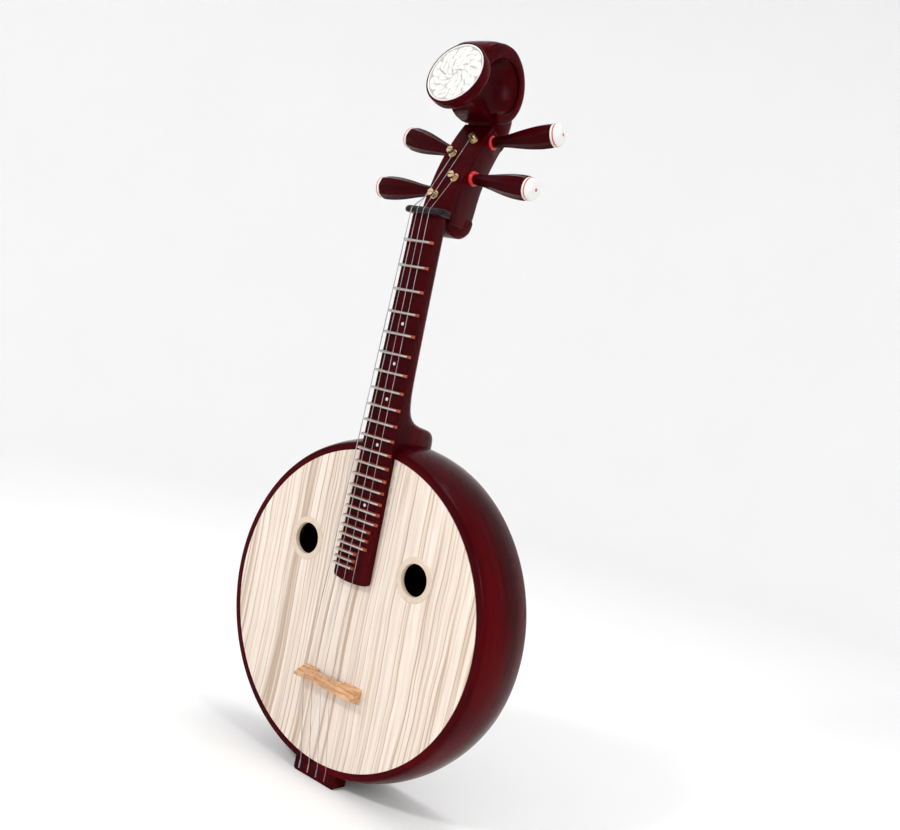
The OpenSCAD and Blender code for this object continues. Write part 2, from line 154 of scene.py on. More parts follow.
def tube(path, radius, sides=12):
    """Round tube along a list of points."""
    path = [Vector(p) for p in path]
    rings, side = [], Vector((1, 0, 0))
    for k, p in enumerate(path):
        ahead = path[min(k + 1, len(path) - 1)] - path[max(k - 1, 0)]
        ahead.normalize()
        side = (side - side.dot(ahead) * ahead).normalized()
        up = ahead.cross(side)
        rings.append([p + radius * (math.cos(t) * side + math.sin(t) * up)
                      for t in np.linspace(0, 2 * math.pi, sides, endpoint=False)])
    return loft(rings)


def axes(origin, z_axis, x_hint=(1, 0, 0)):
    """Matrix of a frame with that origin and Z axis, and X as near x_hint as it can be."""
    z = Vector(z_axis).normalized()
    x = Vector(x_hint)
    x = (x - x.dot(z) * z).normalized()
    y = z.cross(x)
    return Matrix.Translation(origin) @ Matrix((x, y, z)).transposed().to_4x4()


def add(name, skin, looks, body="root", nodes=(), sharp=38, matrix=None):
    """Makes one piece from vertices and faces, rides it on its body and hides the CAD parts it replaces."""
    mesh = bpy.data.meshes.new(name)
    verts, faces = skin
    if matrix is not None:
        verts = [Vector(v) * MM for v in verts]
    if matrix is not None and body == "root":
        verts, matrix = [matrix @ v for v in verts], None
    mesh.from_pydata(verts, [], faces)
    bm = bmesh.new()
    bm.from_mesh(mesh)
    bmesh.ops.remove_doubles(bm, verts=bm.verts, dist=1e-7)
    bmesh.ops.recalc_face_normals(bm, faces=bm.faces)
    bm.to_mesh(mesh)
    bm.free()
    mesh.shade_smooth()
    mesh.set_sharp_from_angle(angle=math.radians(sharp))
    for look in looks if isinstance(looks, list) else [looks]:
        mesh.materials.append(look)
    piece = bpy.data.objects.new(name, mesh)
    bpy.context.scene.collection.objects.link(piece)
    if matrix is not None:
        piece.matrix_world = matrix
    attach(piece, body)
    if nodes:
        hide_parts(*nodes)
    return piece


def bevel(piece, width, segments=3, angle=35):
    """Rounds a piece's sharp edges; width in millimetres."""
    mod = piece.modifiers.new("rounded_edges", "BEVEL")
    mod.width = width * MM
    mod.segments = segments
    mod.limit_method = "ANGLE"
    mod.angle_limit = math.radians(angle)
    mod.harden_normals = True
    return piece


def together(skins):
    """Joins several skins into one list of vertices and faces."""
    verts, faces = [], []
    for v, f in skins:
        start = len(verts)
        verts += list(v)
        faces += [tuple(i + start for i in face) for face in f]
    return verts, faces


# ---------- materials ----------

class Look:
    """One procedural material, with short calls for its nodes."""

    def __init__(self, name, **inputs):
        self.material = bpy.data.materials.new(name)
        self.material.use_nodes = True
        self.tree = self.material.node_tree
        self.shader = self.tree.nodes["Principled BSDF"]
        self.place = self.node("ShaderNodeTexCoord").outputs["Object"]
        for key, value in inputs.items():
            self.shader.inputs[key.replace("_", " ")].default_value = value

    def node(self, kind, links=(), **settings):
        made = self.tree.nodes.new(kind)
        for key, value in settings.items():
            setattr(made, key, value)
        for key, value in dict(links).items():
            if isinstance(value, bpy.types.NodeSocket):
                self.tree.links.new(value, made.inputs[key])
            else:
                made.inputs[key].default_value = value
        return made

    def scaled(self, x, y, z, place=None):
        links = {"Vector": place or self.place, "Scale": (x, y, z)}
        return self.node("ShaderNodeMapping", links).outputs[0]

    def around(self, radius):
        """Coordinates that run round the Y axis of the sound box: arc length, depth and radius."""
        centred = {"Vector": self.place, "Location": (0, 0, -DISC_Z)}
        shift = self.node("ShaderNodeMapping", centred).outputs[0]
        parts = self.node("ShaderNodeSeparateXYZ", {0: shift}).outputs
        angle = self.node("ShaderNodeMath", {0: parts[0], 1: parts[2]}, operation="ARCTAN2").outputs[0]
        length = self.node("ShaderNodeMath", {0: angle, 1: radius}, operation="MULTIPLY").outputs[0]
        far = self.node("ShaderNodeVectorMath", {0: shift}, operation="LENGTH").outputs[1]
        return self.node("ShaderNodeCombineXYZ", {0: far, 1: parts[1], 2: length}).outputs[0]

    def noise(self, place, scale, detail=3.0, rough=0.5, distortion=0.0):
        return self.node("ShaderNodeTexNoise", {"Vector": place, "Scale": scale, "Detail": detail,
                                                "Roughness": rough, "Distortion": distortion}).outputs[0]

    def ramp(self, fac, stops):
        made = self.node("ShaderNodeValToRGB", {0: fac})
        band = made.color_ramp
        while len(band.elements) < len(stops):
            band.elements.new(0.5)
        for element, (spot, colour) in zip(band.elements, stops):
            element.position = spot
            element.color = (*colour, 1) if len(colour) == 3 else colour
        return made.outputs[0]

    def grey(self, fac, low, high, a=0.3, b=0.7):
        made = self.node("ShaderNodeMapRange", {0: fac, 1: a, 2: b, 3: low, 4: high})
        return made.outputs[0]

    def mix(self, fac, a, b, how="MIX"):
        made = self.node("ShaderNodeMix", data_type="RGBA", blend_type=how)
        for key, value in ((0, fac), (6, a), (7, b)):
            if isinstance(value, bpy.types.NodeSocket):
                self.tree.links.new(value, made.inputs[key])
            else:
                made.inputs[key].default_value = (*value, 1) if key else value
        return made.outputs[2]

    def set(self, name, value):
        self.tree.links.new(value, self.shader.inputs[name])

    def bump(self, height, strength, depth, under=None):
        links = {"Height": height, "Strength": strength, "Distance": depth * MM}
        if under is not None:
            links["Normal"] = under
        out = self.node("ShaderNodeBump", links).outputs[0]
        self.set("Normal", out)
        return out


def lacquer(name, grain=(1, 1, 0.07), around=False, tint=1.0, gloss=0.16):
    """Dark red-brown lacquer over straight-grained hardwood."""
    look = Look(name, Specular_IOR_Level=0.045, Specular_Tint=(1.0, 0.6, 0.65, 1.0))
    base = look.around(0.18) if around else look.place
    place = look.scaled(*grain, base)
    figure = look.noise(place, 42, 5, 0.6, 0.8)
    pores = look.noise(place, 900, 3, 0.6)
    dark, mid, bright = [tuple(c * tint for c in rgb) for rgb in
                         ((0.018, 0.0006, 0.0014), (0.042, 0.0009, 0.0022), (0.084, 0.0012, 0.0030))]
    colour = look.ramp(figure, [(0.28, dark), (0.5, mid), (0.74, bright)])
    specks = look.grey(pores, 0.0, 0.55, 0.56, 0.72)
    look.set("Base Color", look.mix(specks, colour, (0.010, 0.0006, 0.0012)))
    wear = look.noise(look.place, 35, 4, 0.6)
    look.set("Roughness", look.grey(wear, gloss, gloss + 0.1))
    ripple = look.bump(look.noise(look.place, 28, 2), 0.05, 0.6)
    look.bump(pores, 0.06, 0.12, ripple)
    return look.material


def board_wood():
    """Pale soundboard wood with long brown and grey grain lines that run up the board."""
    look = Look("soundboard_wood", Specular_IOR_Level=0.2)
    sway = look.noise(look.scaled(1, 0.2, 0.5), 6, 3)
    shift = look.node("ShaderNodeCombineXYZ", {0: look.grey(sway, -0.010, 0.010, 0.2, 0.8)}).outputs[0]
    moved = look.node("ShaderNodeVectorMath", {0: look.place, 1: shift}, operation="ADD").outputs[0]
    bold = look.noise(look.scaled(1, 0.2, 0.010, moved), 70, 1.2, 0.4)
    streak = look.noise(look.scaled(1, 0.2, 0.022, moved), 210, 3, 0.6)
    fine = look.noise(look.scaled(1, 1, 0.030, moved), 1100, 3, 0.65)
    tone = look.noise(look.scaled(1, 0.2, 0.06), 9, 2)
    base = look.ramp(tone, [(0.32, (0.755, 0.67, 0.60)), (0.5, (0.79, 0.70, 0.62)),
                            (0.7, (0.81, 0.71, 0.625))])
    lines = look.ramp(bold, [(0.455, (1, 1, 1)), (0.482, (0.60, 0.49, 0.40)), (0.492, (0.50, 0.39, 0.31)),
                             (0.52, (0.97, 0.95, 0.93)), (0.60, (1, 1, 1)), (0.625, (0.72, 0.63, 0.55)),
                             (0.65, (1, 1, 1))])
    bands = look.ramp(streak, [(0.34, (0.72, 0.64, 0.58)), (0.46, (0.93, 0.90, 0.87)),
                               (0.62, (1.05, 1.04, 1.03))])
    colour = look.mix(0.8, base, lines, "MULTIPLY")
    colour = look.mix(0.75, colour, bands, "MULTIPLY")
    colour = look.mix(look.grey(fine, 0.0, 0.30, 0.5, 0.72), colour, (0.50, 0.38, 0.29))
    look.set("Base Color", colour)
    look.set("Roughness", look.grey(fine, 0.5, 0.68))
    under = look.bump(streak, 0.12, 0.25)
    look.bump(fine, 0.2, 0.08, under)
    return look.material


def plain_wood(name, dark, light, grain=(1, 1, 0.06), scale=160, rough=0.5, spec=0.35):
    """Bare wood: long fibres in two tones with fine pores."""
    look = Look(name, Specular_IOR_Level=spec)
    place = look.scaled(*grain)
    fibre = look.noise(place, scale, 5, 0.62, 0.3)
    pores = look.noise(place, scale * 7, 2, 0.5)
    colour = look.ramp(fibre, [(0.3, dark), (0.62, light)])
    in_pores = tuple(c * 0.45 for c in dark)
    look.set("Base Color", look.mix(look.grey(pores, 0.0, 0.6, 0.58, 0.72), colour, in_pores))
    look.set("Roughness", look.grey(pores, rough, rough + 0.15))
    look.bump(fibre, 0.15, 0.15, look.bump(pores, 0.12, 0.06))
    return look.material


def bone(name="bone", warm=(1, 1, 1)):
    """White polished bone with faint flecks, with painted shade darkening it in the carved hollows."""
    look = Look(name, Specular_IOR_Level=0.45, Coat_Weight=0.3, Coat_Roughness=0.12)
    look.shader.inputs["Subsurface Weight"].default_value = 0.12
    look.shader.inputs["Subsurface Radius"].default_value = (0.004, 0.003, 0.002)
    fleck = look.noise(look.scaled(1, 1, 0.3), 700, 3)
    cloud = look.noise(look.place, 60, 3)
    base = look.ramp(cloud, [(0.3, (0.71, 0.70, 0.68)), (0.7, (0.77, 0.765, 0.755))])
    colour = look.mix(look.grey(fleck, 0, 0.35, 0.6, 0.75), base, (0.62, 0.54, 0.42))
    colour = look.mix(1.0, colour, warm, "MULTIPLY")
    # Painted shade: the hollow attribute turns the carved hollows towards grey-brown.
    hollow = look.node("ShaderNodeAttribute", attribute_name="hollow").outputs["Fac"]
    look.set("Base Color", look.mix(look.grey(hollow, 0.0, 0.85, 0.03, 0.85), colour, (0.42, 0.38, 0.355)))
    look.set("Roughness", look.grey(cloud, 0.24, 0.36))
    look.bump(fleck, 0.05, 0.05)
    return look.material


def metal(name, colour, rough, scratch=(1, 1, 12), scale=400):
    """Polished metal with fine turning marks and dull patches."""
    look = Look(name, Metallic=1.0)
    marks = look.noise(look.scaled(*scratch), scale, 3, 0.6)
    patch = look.noise(look.place, 120, 3)
    look.set("Base Color", look.ramp(patch, [(0.3, tuple(c * 0.82 for c in colour)), (0.7, colour)]))
    look.set("Roughness", look.grey(marks, rough, rough + 0.14))
    look.bump(marks, 0.08, 0.03)
    return look.material


def wound_string():
    """Steel string with close turns of winding wire."""
    look = Look("wound_string", Metallic=1.0)
    wave = look.node("ShaderNodeTexWave", {"Vector": look.place, "Scale": 480.0, "Distortion": 0.15},
                     wave_type="BANDS", bands_direction="Z", wave_profile="SIN").outputs[1]
    patch = look.noise(look.scaled(1, 1, 0.2), 160, 2)
    look.set("Base Color", look.ramp(patch, [(0.35, (0.30, 0.30, 0.31)), (0.65, (0.52, 0.52, 0.53))]))
    look.set("Roughness", look.grey(patch, 0.26, 0.4))
    look.bump(wave, 0.5, 0.06)
    return look.material


def silk(name, colour):
    """Silk thread laid round the string's end, with a fine twill, its grooves darkened as painted shade."""
    look = Look(name, Specular_IOR_Level=0.3)
    look.shader.inputs["Sheen Weight"].default_value = 0.5
    wave = look.node("ShaderNodeTexWave", {"Vector": look.place, "Scale": 700.0, "Distortion": 1.0},
                     wave_type="BANDS", bands_direction="DIAGONAL").outputs[1]
    fuzz = look.noise(look.place, 1500, 2)
    # Painted shade: the twill's low grooves, which are also the bump's low parts, take the darker colour.
    look.set("Base Color", look.mix(wave, tuple(c * 0.6 for c in colour), colour))
    look.set("Roughness", look.grey(fuzz, 0.5, 0.75))
    look.bump(wave, 0.4, 0.08)
    return look.material


def gloss(name, dark, light, scale=60, rough=0.18, coat=0.4, spec=0.4):
    """Polished horn, shell or enamel: clouded colour under a clear surface."""
    look = Look(name, Specular_IOR_Level=spec, Coat_Weight=coat, Coat_Roughness=0.08)
    cloud = look.noise(look.place, scale, 4, 0.55, 0.6)
    look.set("Base Color", look.ramp(cloud, [(0.32, dark), (0.68, light)]))
    look.set("Roughness", look.grey(cloud, rough, rough + 0.12))
    look.bump(look.noise(look.place, scale * 6, 3), 0.05, 0.05)
    return look.material


LACQUER = lacquer("lacquer_neck")
RIM_LACQUER = lacquer("lacquer_side", around=True, grain=(0.6, 1, 0.12), tint=1.1)
PEG_LACQUER = lacquer("lacquer_peg", gloss=0.2, tint=0.8)
BACK_LACQUER = lacquer("lacquer_back", tint=1.0)
FINGER_WOOD = lacquer("fingerboard_wood", tint=0.95, gloss=0.34)
SOUNDBOARD = board_wood()
RAW_WOOD = plain_wood("inner_softwood", (0.42, 0.27, 0.13), (0.66, 0.47, 0.27))
FRET_WOOD = plain_wood("fret_base_wood", (0.20, 0.028, 0.012), (0.46, 0.085, 0.035), (0.1, 1, 1), 260, 0.35)
BAMBOO = plain_wood("bridge_bamboo", (0.34, 0.14, 0.055), (0.76, 0.45, 0.24), (0.16, 1, 1), 330, 0.42)
BONE = bone()
RING_BONE = bone("hole_ring_bone", (0.86, 0.71, 0.57))
HORN = gloss("dark_horn", (0.006, 0.004, 0.005), (0.022, 0.009, 0.011), coat=0.0, spec=0.15)
PEARL = gloss("pearl", (0.50, 0.51, 0.54), (0.74, 0.73, 0.71), 900, 0.2, 0.8)
RED = gloss("red_collar", (0.42, 0.006, 0.006), (0.66, 0.012, 0.010), 200, 0.28, 0.3)
RED_LINE = gloss("red_inlay", (0.50, 0.045, 0.018), (0.68, 0.09, 0.035), 400, 0.3, 0.3)
BRASS = metal("brass_polished", (0.86, 0.66, 0.36), 0.16)
STEEL = metal("turned_steel", (0.55, 0.55, 0.56), 0.25)
NICKEL = metal("nickel_silver", (0.52, 0.51, 0.48), 0.24, (0.2, 1, 1))
STRING = wound_string()
SILKS = [silk("silk_grey_blue", (0.26, 0.31, 0.44)), silk("silk_beige", (0.42, 0.30, 0.26)),
         silk("silk_blue", (0.16, 0.24, 0.46)), silk("silk_red", (0.45, 0.07, 0.08))]


# ---------- sound box ----------

def side_rim():
    bulge_r = ((BODY_DEPTH / 2) ** 2 + RIM_BULGE ** 2) / (2 * RIM_BULGE)
    cx, cy = RIM_R - bulge_r, BODY_DEPTH / 2
    half = math.degrees(math.asin((BODY_DEPTH / 2 - 3) / bulge_r))
    edge = RIM_R - RIM_BULGE
    outer = arc(cx, cy, bulge_r, -half, half, 40)
    line = [(BOARD_R - 0.02, 0.7), (BOARD_R + 0.5, 0.15), (BOARD_R + 1.2, 0), (edge - 1.6, 0),
            (edge - 0.7, 0.25), (edge + 0.05, 1.1)] + outer
    line += [(edge + 0.1, BODY_DEPTH - 1.6), (edge - 0.9, BODY_DEPTH - 0.4), (edge - 2.4, BODY_DEPTH),
             (BOARD_R + 0.6, BODY_DEPTH), (BOARD_R - 0.02, BODY_DEPTH - 0.5), (BOARD_R, BODY_DEPTH - 14),
             (BOARD_R + 6, BODY_DEPTH - 30), (BOARD_R + 6, 30), (BOARD_R, 14)]
    turn = axes(at(0, 0, 0), (0, 1, 0))
    add("side_rim_shell", lathe(line, 224, closed=True), RIM_LACQUER, nodes=["side_rim"],
        matrix=turn, sharp=30)


def hole_rings():
    for side in ("left", "right"):
        node = f"sound_hole_ring_{side}"
        lo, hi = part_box(node)
        outer = (hi.x - lo.x) / 2 / MM
        inner = outer - 6.8
        x = (hi.x + lo.x) / 2
        z = (hi.z + lo.z) / 2
        line = [(inner, 4.4), (inner, -0.5), (inner + 0.4, -1.0), (inner + 1.0, -1.2), (inner + 2.2, -1.15),
                (inner + 2.5, -0.95), (inner + 2.8, -1.12), (inner + 4.6, -1.0), (outer - 0.8, -0.65),
                (outer - 0.15, -0.25),
                (outer, 0.05), (outer - 3.9, 0.05), (outer - 3.9, 4.4)]
        add(f"hole_ring_{side}", lathe(line, 128, closed=True), RING_BONE, nodes=[node],
            matrix=axes((x, FACE_Y, z), (0, 1, 0)), sharp=50)


# ---------- neck ----------

def board_w(z):
    return BOARD_W_NUT + (BOARD_W_TAIL - BOARD_W_NUT) * (NUT_Z - z) / SCALE_LEN


def fret_z(n):
    return NUT_Z - SCALE_LEN * (1 - 2 ** (-n / 12))


def neck():
    rows = [(NUT_Z + 3, 16, 17.4), (400, 15.4, 17.6), (330, 15.4, 18.4), (270, 15.6, 19.4),
            (244, 16.4, 19.9), (230, 19.0, 20.0), (219, 24.0, 19.8), (211, 33, 19.4), (206.3, 46, 18.9),
            (204, 58, 18.4), (201.5, 68, 17.9), (197, 74.5, 17.4), (190, 77.2, 17), (181, 77.4, 16.8),
            (172, 77.0, 16.8)]
    rings = []
    for z, depth, half in smooth(rows, 6):
        ring = []
        for t in np.linspace(0, math.pi, 33):
            c, s = math.cos(t), math.sin(t)
            ring.append(at(half * math.copysign(abs(c) ** 0.85, c), depth * s ** 0.75, z))
        rings.append(ring)
    add("neck_and_heel", loft(rings), LACQUER, nodes=["neck"], sharp=50)


def fingerboard():
    end = arc(0, BOARD_END_Z + 112, 112, -101.5, -78.5, 15)
    half = board_w(BOARD_END_Z) / 2
    outline = [(-BOARD_W_NUT / 2, NUT_Z), (-half, BOARD_END_Z + 6), (-half + 0.8, BOARD_END_Z + 3.2)] + end
    outline += [(half - 0.8, BOARD_END_Z + 3.2), (half, BOARD_END_Z + 6), (BOARD_W_NUT / 2, NUT_Z)]
    rings = [[at(x, y, z) for x, z in outline] for y in (0, -BOARD_H)]
    piece = add("fingerboard_plate", loft(rings), FINGER_WOOD, nodes=["fingerboard"])
    bevel(piece, 0.6, 3)


def fret_reach(n):
    edge = board_w(fret_z(n)) / 2 + 1.2
    right = edge if n < 19 else 16.5 if n < 22 else 4.5
    return -edge, right


def bar(x0, x1, section, z0, trim=0.35):
    """Bar along X with the section's (y, z) points, its ends trimmed in a little."""
    rings = []
    for x, shrink in ((x0, 0.82), (x0 + trim, 1), (x1 - trim, 1), (x1, 0.82)):
        cy = sum(p[0] for p in section) / len(section)
        rings.append([at(x, cy + (y - cy) * shrink, z0 + z * shrink) for y, z in section])
    return loft(rings)


def frets():
    base_section = [(-8, -1.6), (-8, 1.6), (-9.6, 1.55), (-11.2, 1.3), (-11.5, 1.0), (-11.5, -1.0),
                    (-11.2, -1.3), (-9.6, -1.55)]
    round_top = [(-11.5 - 1.3 * math.sin(t), -1.3 * math.cos(t)) for t in np.linspace(0, math.pi, 11)]
    cap_section = [(-11.35, -1.2)] + round_top + [(-11.35, 1.2)]
    bases, caps = [], []
    for n in range(1, FRETS + 1):
        x0, x1 = fret_reach(n)
        bases.append(bar(x0, x1, base_section, fret_z(n)))
        caps.append(bar(x0 + 0.15, x1 - 2.4, cap_section, fret_z(n), 0.6))
    add("fret_strips", together(bases), FRET_WOOD, nodes=["fret_bases"], sharp=35)
    add("fret_caps", together(caps), NICKEL, nodes=["fret_wires"], sharp=50)


def nut():
    section = smooth([(5.5, 0), (-9, -0.3), (-14.2, 0.2), (-15.4, 2.2), (-15.3, 4.6), (-12, 7.4), (-5, 8),
                      (3, 8)], 5)
    ends = [(25, 0.55), (24.6, 0.75), (23.6, 0.9), (22, 0.98), (20, 1)]
    middle = [(x, 1) for x in np.linspace(-17, 17, 18)]
    rings = []
    for x, k in [(-x, k) for x, k in ends] + middle + ends[::-1]:
        rings.append([at(x, -5 + (y + 5) * k, NUT_Z + 4 + (z - 4) * k) for y, z in section])
    add("nut_bar", loft(rings), HORN, nodes=["nut"], sharp=60)


# ---------- pegbox and scroll ----------

def pegbox():
    back = smooth([(4, 170, 11), (12, 172.5, 12), (19, 176, 12.5), (26, 179, 13), (31, 181.5, 13.6),
                   (36.2, 184.5, 14.2)], 5)
    rings = []
    front, side = ARC_R - COVER_T, ARC_R - 21
    for a, r, w in back:
        rings.append([on_head(-PLATE_HW, front, a), on_head(-PLATE_HW, side, a), on_head(-w, r, a),
                      on_head(w, r, a), on_head(PLATE_HW, side, a), on_head(PLATE_HW, front, a)])
    box = add("pegbox_body", loft(rings), LACQUER, nodes=["pegbox"])
    bevel(box, 1.6, 4, 20)
    centre_y, centre_z, radius = 36, NUT_Z + 3.5, 19.3
    rings = []
    for x, r in smooth([(-17.5, 10), (-16.2, 15.5), (-13, 18.6), (-9, radius), (9, radius), (13, 18.6),
                        (16.2, 15.5), (17.5, 10)], 4):
        ring = []
        for t in np.linspace(0, 2 * math.pi, 64, endpoint=False):
            y, z = centre_y + r * math.cos(t), centre_z + r * math.sin(t)
            if math.sin(t) > 0:
                z = centre_z + r * math.sin(t) * 0.4
            if math.cos(t) < 0:
                y = centre_y + r * math.cos(t) * 1.35
            ring.append(at(x, y, z))
        rings.append(ring)
    add("pegbox_knob", loft(rings), LACQUER, sharp=60)
    corners = ((-PLATE_HW, front), (PLATE_HW, front), (PLATE_HW, ARC_R), (-PLATE_HW, ARC_R))
    rings = [[on_head(x, r, a) for x, r in corners] for a in np.linspace(6.2, 36, 40)]
    plate = add("pegbox_front_plate", loft(rings), LACQUER, nodes=["pegbox_cover"])
    bevel(plate, 0.7, 3, 40)


def scroll_band():
    """Band that sweeps back, up and forward to the medallion: rows of angle, two radii, half width."""
    rows = [(-88, 25.5, 38, 24.5), (-80, 26, 39, 25.6), (-66, 27, 40, 26), (-45, 28.4, 40.8, 26),
            (-15, 29, 41.4, 26), (20, 29, 41.6, 26), (50, 29, 43, 26), (75, 29, 45.0, 25.8),
            (92, 29, 45.4, 25.6), (108, 29, 46.0, 25.4), (122, 29, 48, 25.4), (140, 29, 48, 25),
            (152, 29, 44, 24), (168, 29, 37, 22), (184, 29, 34, 20)]
    rings = []
    for a, inner, outer, half in smooth(rows, 6):
        t = math.radians(a)
        dy, dz = math.cos(t), math.sin(t)
        section = [(-half, outer - 3), (-half + 3, outer), (0, outer + 0.4), (half - 3, outer),
                   (half, outer - 3), (half, inner + 2), (half - 1.6, inner + 0.2),
                   (half * 0.6, inner + 3.4), (0, inner + 5.4), (-half * 0.6, inner + 3.4),
                   (-half + 1.6, inner + 0.2), (-half, inner + 2)]
        rings.append([at(x, SCROLL_Y + dy * r, SCROLL_Z + dz * r) for x, r in section])
    band = add("scroll_band", loft(rings), LACQUER, nodes=["scroll_head"], sharp=70)
    band.modifiers.new("soft", "SUBSURF").render_levels = 2


def scroll_root():
    """Foot of the scroll behind the end of the pegbox, narrower towards its sides."""
    outline = smooth([(46, 540), (60, 527), (77, 517), (83, 536), (84, 556), (70, 566), (55, 556),
                      (47, 549)], 4)
    mid_y, mid_z = 60, 543
    widths = ((-20.5, 0.5), (-19, 0.72), (-16, 0.9), (-13, 1), (13, 1), (16, 0.9), (19, 0.72), (20.5, 0.5))
    rings = [[at(x, mid_y + (y - mid_y) * k, mid_z + (z - mid_z) * k) for y, z in outline]
             for x, k in widths]
    add("scroll_root", loft(rings), LACQUER, sharp=60)


def scroll_bowls():
    """Web inside the scroll, scooped from each side: edge points are (y, z, half width)."""
    edge = smooth([(47, 541, 24), (56, 546, 24), (66, 554, 23.5), (73, 566, 23.5), (75, 580, 23.5),
                   (71, 595, 23.5), (60, 606, 23.5), (45, 610, 23.5), (30, 607, 22), (16, 600, 18),
                   (4, 586, 13), (-1, 570, 11), (2, 557, 13), (16, 549, 18), (32, 544, 23),
                   (47, 541, 24)], 6)
    edge.pop()
    web_hw, mid_y, steps = 6, SCROLL_Y - 6, 16
    rings = []
    for k in np.concatenate([np.linspace(-1, -0.02, steps), np.linspace(0.02, 1, steps)]):
        size = abs(k)
        rings.append([at(math.copysign(web_hw + (w - web_hw) * size ** 2.4, k), mid_y + (y - mid_y) * size,
                         SCROLL_Z + (z - SCROLL_Z) * size) for y, z, w in edge])
    left, right = rings[:steps], rings[steps:]
    bowls = together([loft(left, caps=False), loft(right, caps=False),
                      loft([left[0], right[-1]], caps=False), loft([left[-1], right[0]])])
    add("scroll_bowls", bowls, LACQUER, sharp=50)


def medallion():
    """Wooden cup with the carved disc, whose relief is a grid of rows and cols points in polar order."""
    tilt = math.radians(MEDAL_TILT)
    spot = axes(at(0, MEDAL_Y, MEDAL_Z), (0, -math.cos(tilt), math.sin(tilt)))
    r = MEDAL_R + MEDAL_LIP
    line = [(0, -15.8), (r - 6, -15.8), (r - 2.5, -14.6), (r - 0.6, -12), (r, -8.5), (r, -1.6),
            (r - 0.35, -0.5), (r - 1.0, 0), (r - 1.7, 0), (r - 2.2, -0.4), (MEDAL_R + 0.1, -1.4),
            (MEDAL_R + 0.1, -4), (0, -4)]
    add("medallion_cup", lathe(line, 128), LACQUER, nodes=["medallion_frame"],
        matrix=spot, sharp=45)
    rows, cols = 110, 300
    verts = []
    for k in range(rows + 1):
        q = k / rows
        for i in range(cols):
            a = 2 * math.pi * i / cols
            verts.append((MEDAL_R * q * math.cos(a), MEDAL_R * q * math.sin(a), flower(q, a)))
    faces = [(k * cols + i, k * cols + (i + 1) % cols, (k + 1) * cols + (i + 1) % cols, (k + 1) * cols + i)
             for k in range(rows) for i in range(cols)]
    edge = len(verts)
    for i in range(cols):
        a = 2 * math.pi * i / cols
        j = (i + 1) % cols
        verts.append((MEDAL_R * math.cos(a), MEDAL_R * math.sin(a), -3.9))
        faces.append((rows * cols + i, rows * cols + j, edge + j, edge + i))
    faces.append(tuple(edge + i for i in range(cols)))
    piece = add("carved_medallion", (verts, faces), BONE, nodes=["bone_medallion"], matrix=spot,
                sharp=80)
    # Mask for the painted shade in the carved hollows.
    store_hollow_shade_depth(piece, spot.to_3x3() @ Vector((0, 0, 1)))


def petal_ring(q, a, count, start, r0, r1, turn, lift):
    """Height of one ring of overlapping petals between radii r0 and r1, 0 where there is none."""
    if not r0 < q < r1:
        return 0.0
    t = (q - r0) / (r1 - r0)
    phase = (a * count / (2 * math.pi) + start + turn * t) % 1.0
    across = 2 * phase - 1
    tip = 1 - 0.30 * across * across
    if t > tip or abs(across) > 0.96:
        return 0.0
    edge = min(1.0, (tip - t) * 7) ** 0.5 * min(1.0, (0.96 - abs(across)) * 6) ** 0.5
    cup = 0.62 + 0.38 * abs(across) ** 1.6 - 0.22 * math.exp(-(across / 0.10) ** 2)
    ribs = 0.05 * math.cos(across * 16)
    return lift * edge * (cup + ribs) * (0.6 + 0.4 * t)


def flower(q, a):
    """Height of the carved flower at radius q (0 to 1) and angle a, in millimetres."""
    layers = [petal_ring(q, a, 9, 0.0, 0.56, 0.965, 0.35, 1.15),
              petal_ring(q, a, 7, 0.35, 0.36, 0.83, 0.5, 1.75),
              petal_ring(q, a, 5, 0.1, 0.17, 0.62, 0.55, 2.3),
              petal_ring(q, a, 3, 0.5, 0.04, 0.36, 0.6, 2.75),
              2.6 * max(0.0, 1 - (q / 0.10) ** 2)]
    rim = 1.2 if q > 0.955 else 0.0
    return -1.15 + 0.5 * (1 - q * q) + max(layers + [rim])


def store_hollow_shade_depth(piece, outward):
    """Stores how deep each point lies below its neighbours, for the painted shade that the bone material
    puts in the hollows.
    """
    mesh = piece.data
    z = np.array([v.co.dot(outward) for v in mesh.vertices])
    ends = np.array([tuple(e.vertices) for e in mesh.edges])
    level = z.copy()
    for _ in range(40):
        total, count = level.copy(), np.ones(len(z))
        np.add.at(total, ends[:, 0], level[ends[:, 1]])
        np.add.at(total, ends[:, 1], level[ends[:, 0]])
        np.add.at(count, ends[:, 0], 1)
        np.add.at(count, ends[:, 1], 1)
        level = total / count
    # Depth below the neighbours: the mask of the painted shade in the hollows.
    dip = np.clip((level - z) / (0.30 * MM), 0, 1)
    layer = mesh.attributes.new("hollow", "FLOAT", "POINT")
    layer.data.foreach_set("value", dip.astype(np.float32))


# ---------- tuners ----------

JOINTS = {joint["name"]: joint for joint in frame["joints"]}


def peg_frame(i):
    """Frame on peg i's axis with +Z out of the pegbox."""
    joint = JOINTS[f"peg_{i}_turn"]
    side = 1 if i in (1, 3) else -1
    return axes(joint["pos_m"], Vector(joint["axis"]) * side, (0, 0, 1))


def post_frame(i):
    joint = JOINTS[f"post_{i}_turn"]
    return axes(joint["pos_m"], joint["axis"])


def fluted(line, ridges=8, flute=0.02, per=8):
    """Skin of an eight-sided handle from (height, radius, sharpness) rows, with slightly hollow faces."""
    rings = []
    step = math.pi / ridges
    for h, r, keen in line:
        ring = []
        for i in range(ridges * per):
            a = 2 * math.pi * i / (ridges * per)
            off = (a % (2 * step)) - step
            flat = math.cos(step) / math.cos(off) - flute * math.cos(off / step * math.pi / 2) ** 2
            k = r * (1 + (flat - 1) * keen)
            ring.append((k * math.cos(a), k * math.sin(a), h))
        rings.append(ring)
    return loft(rings)


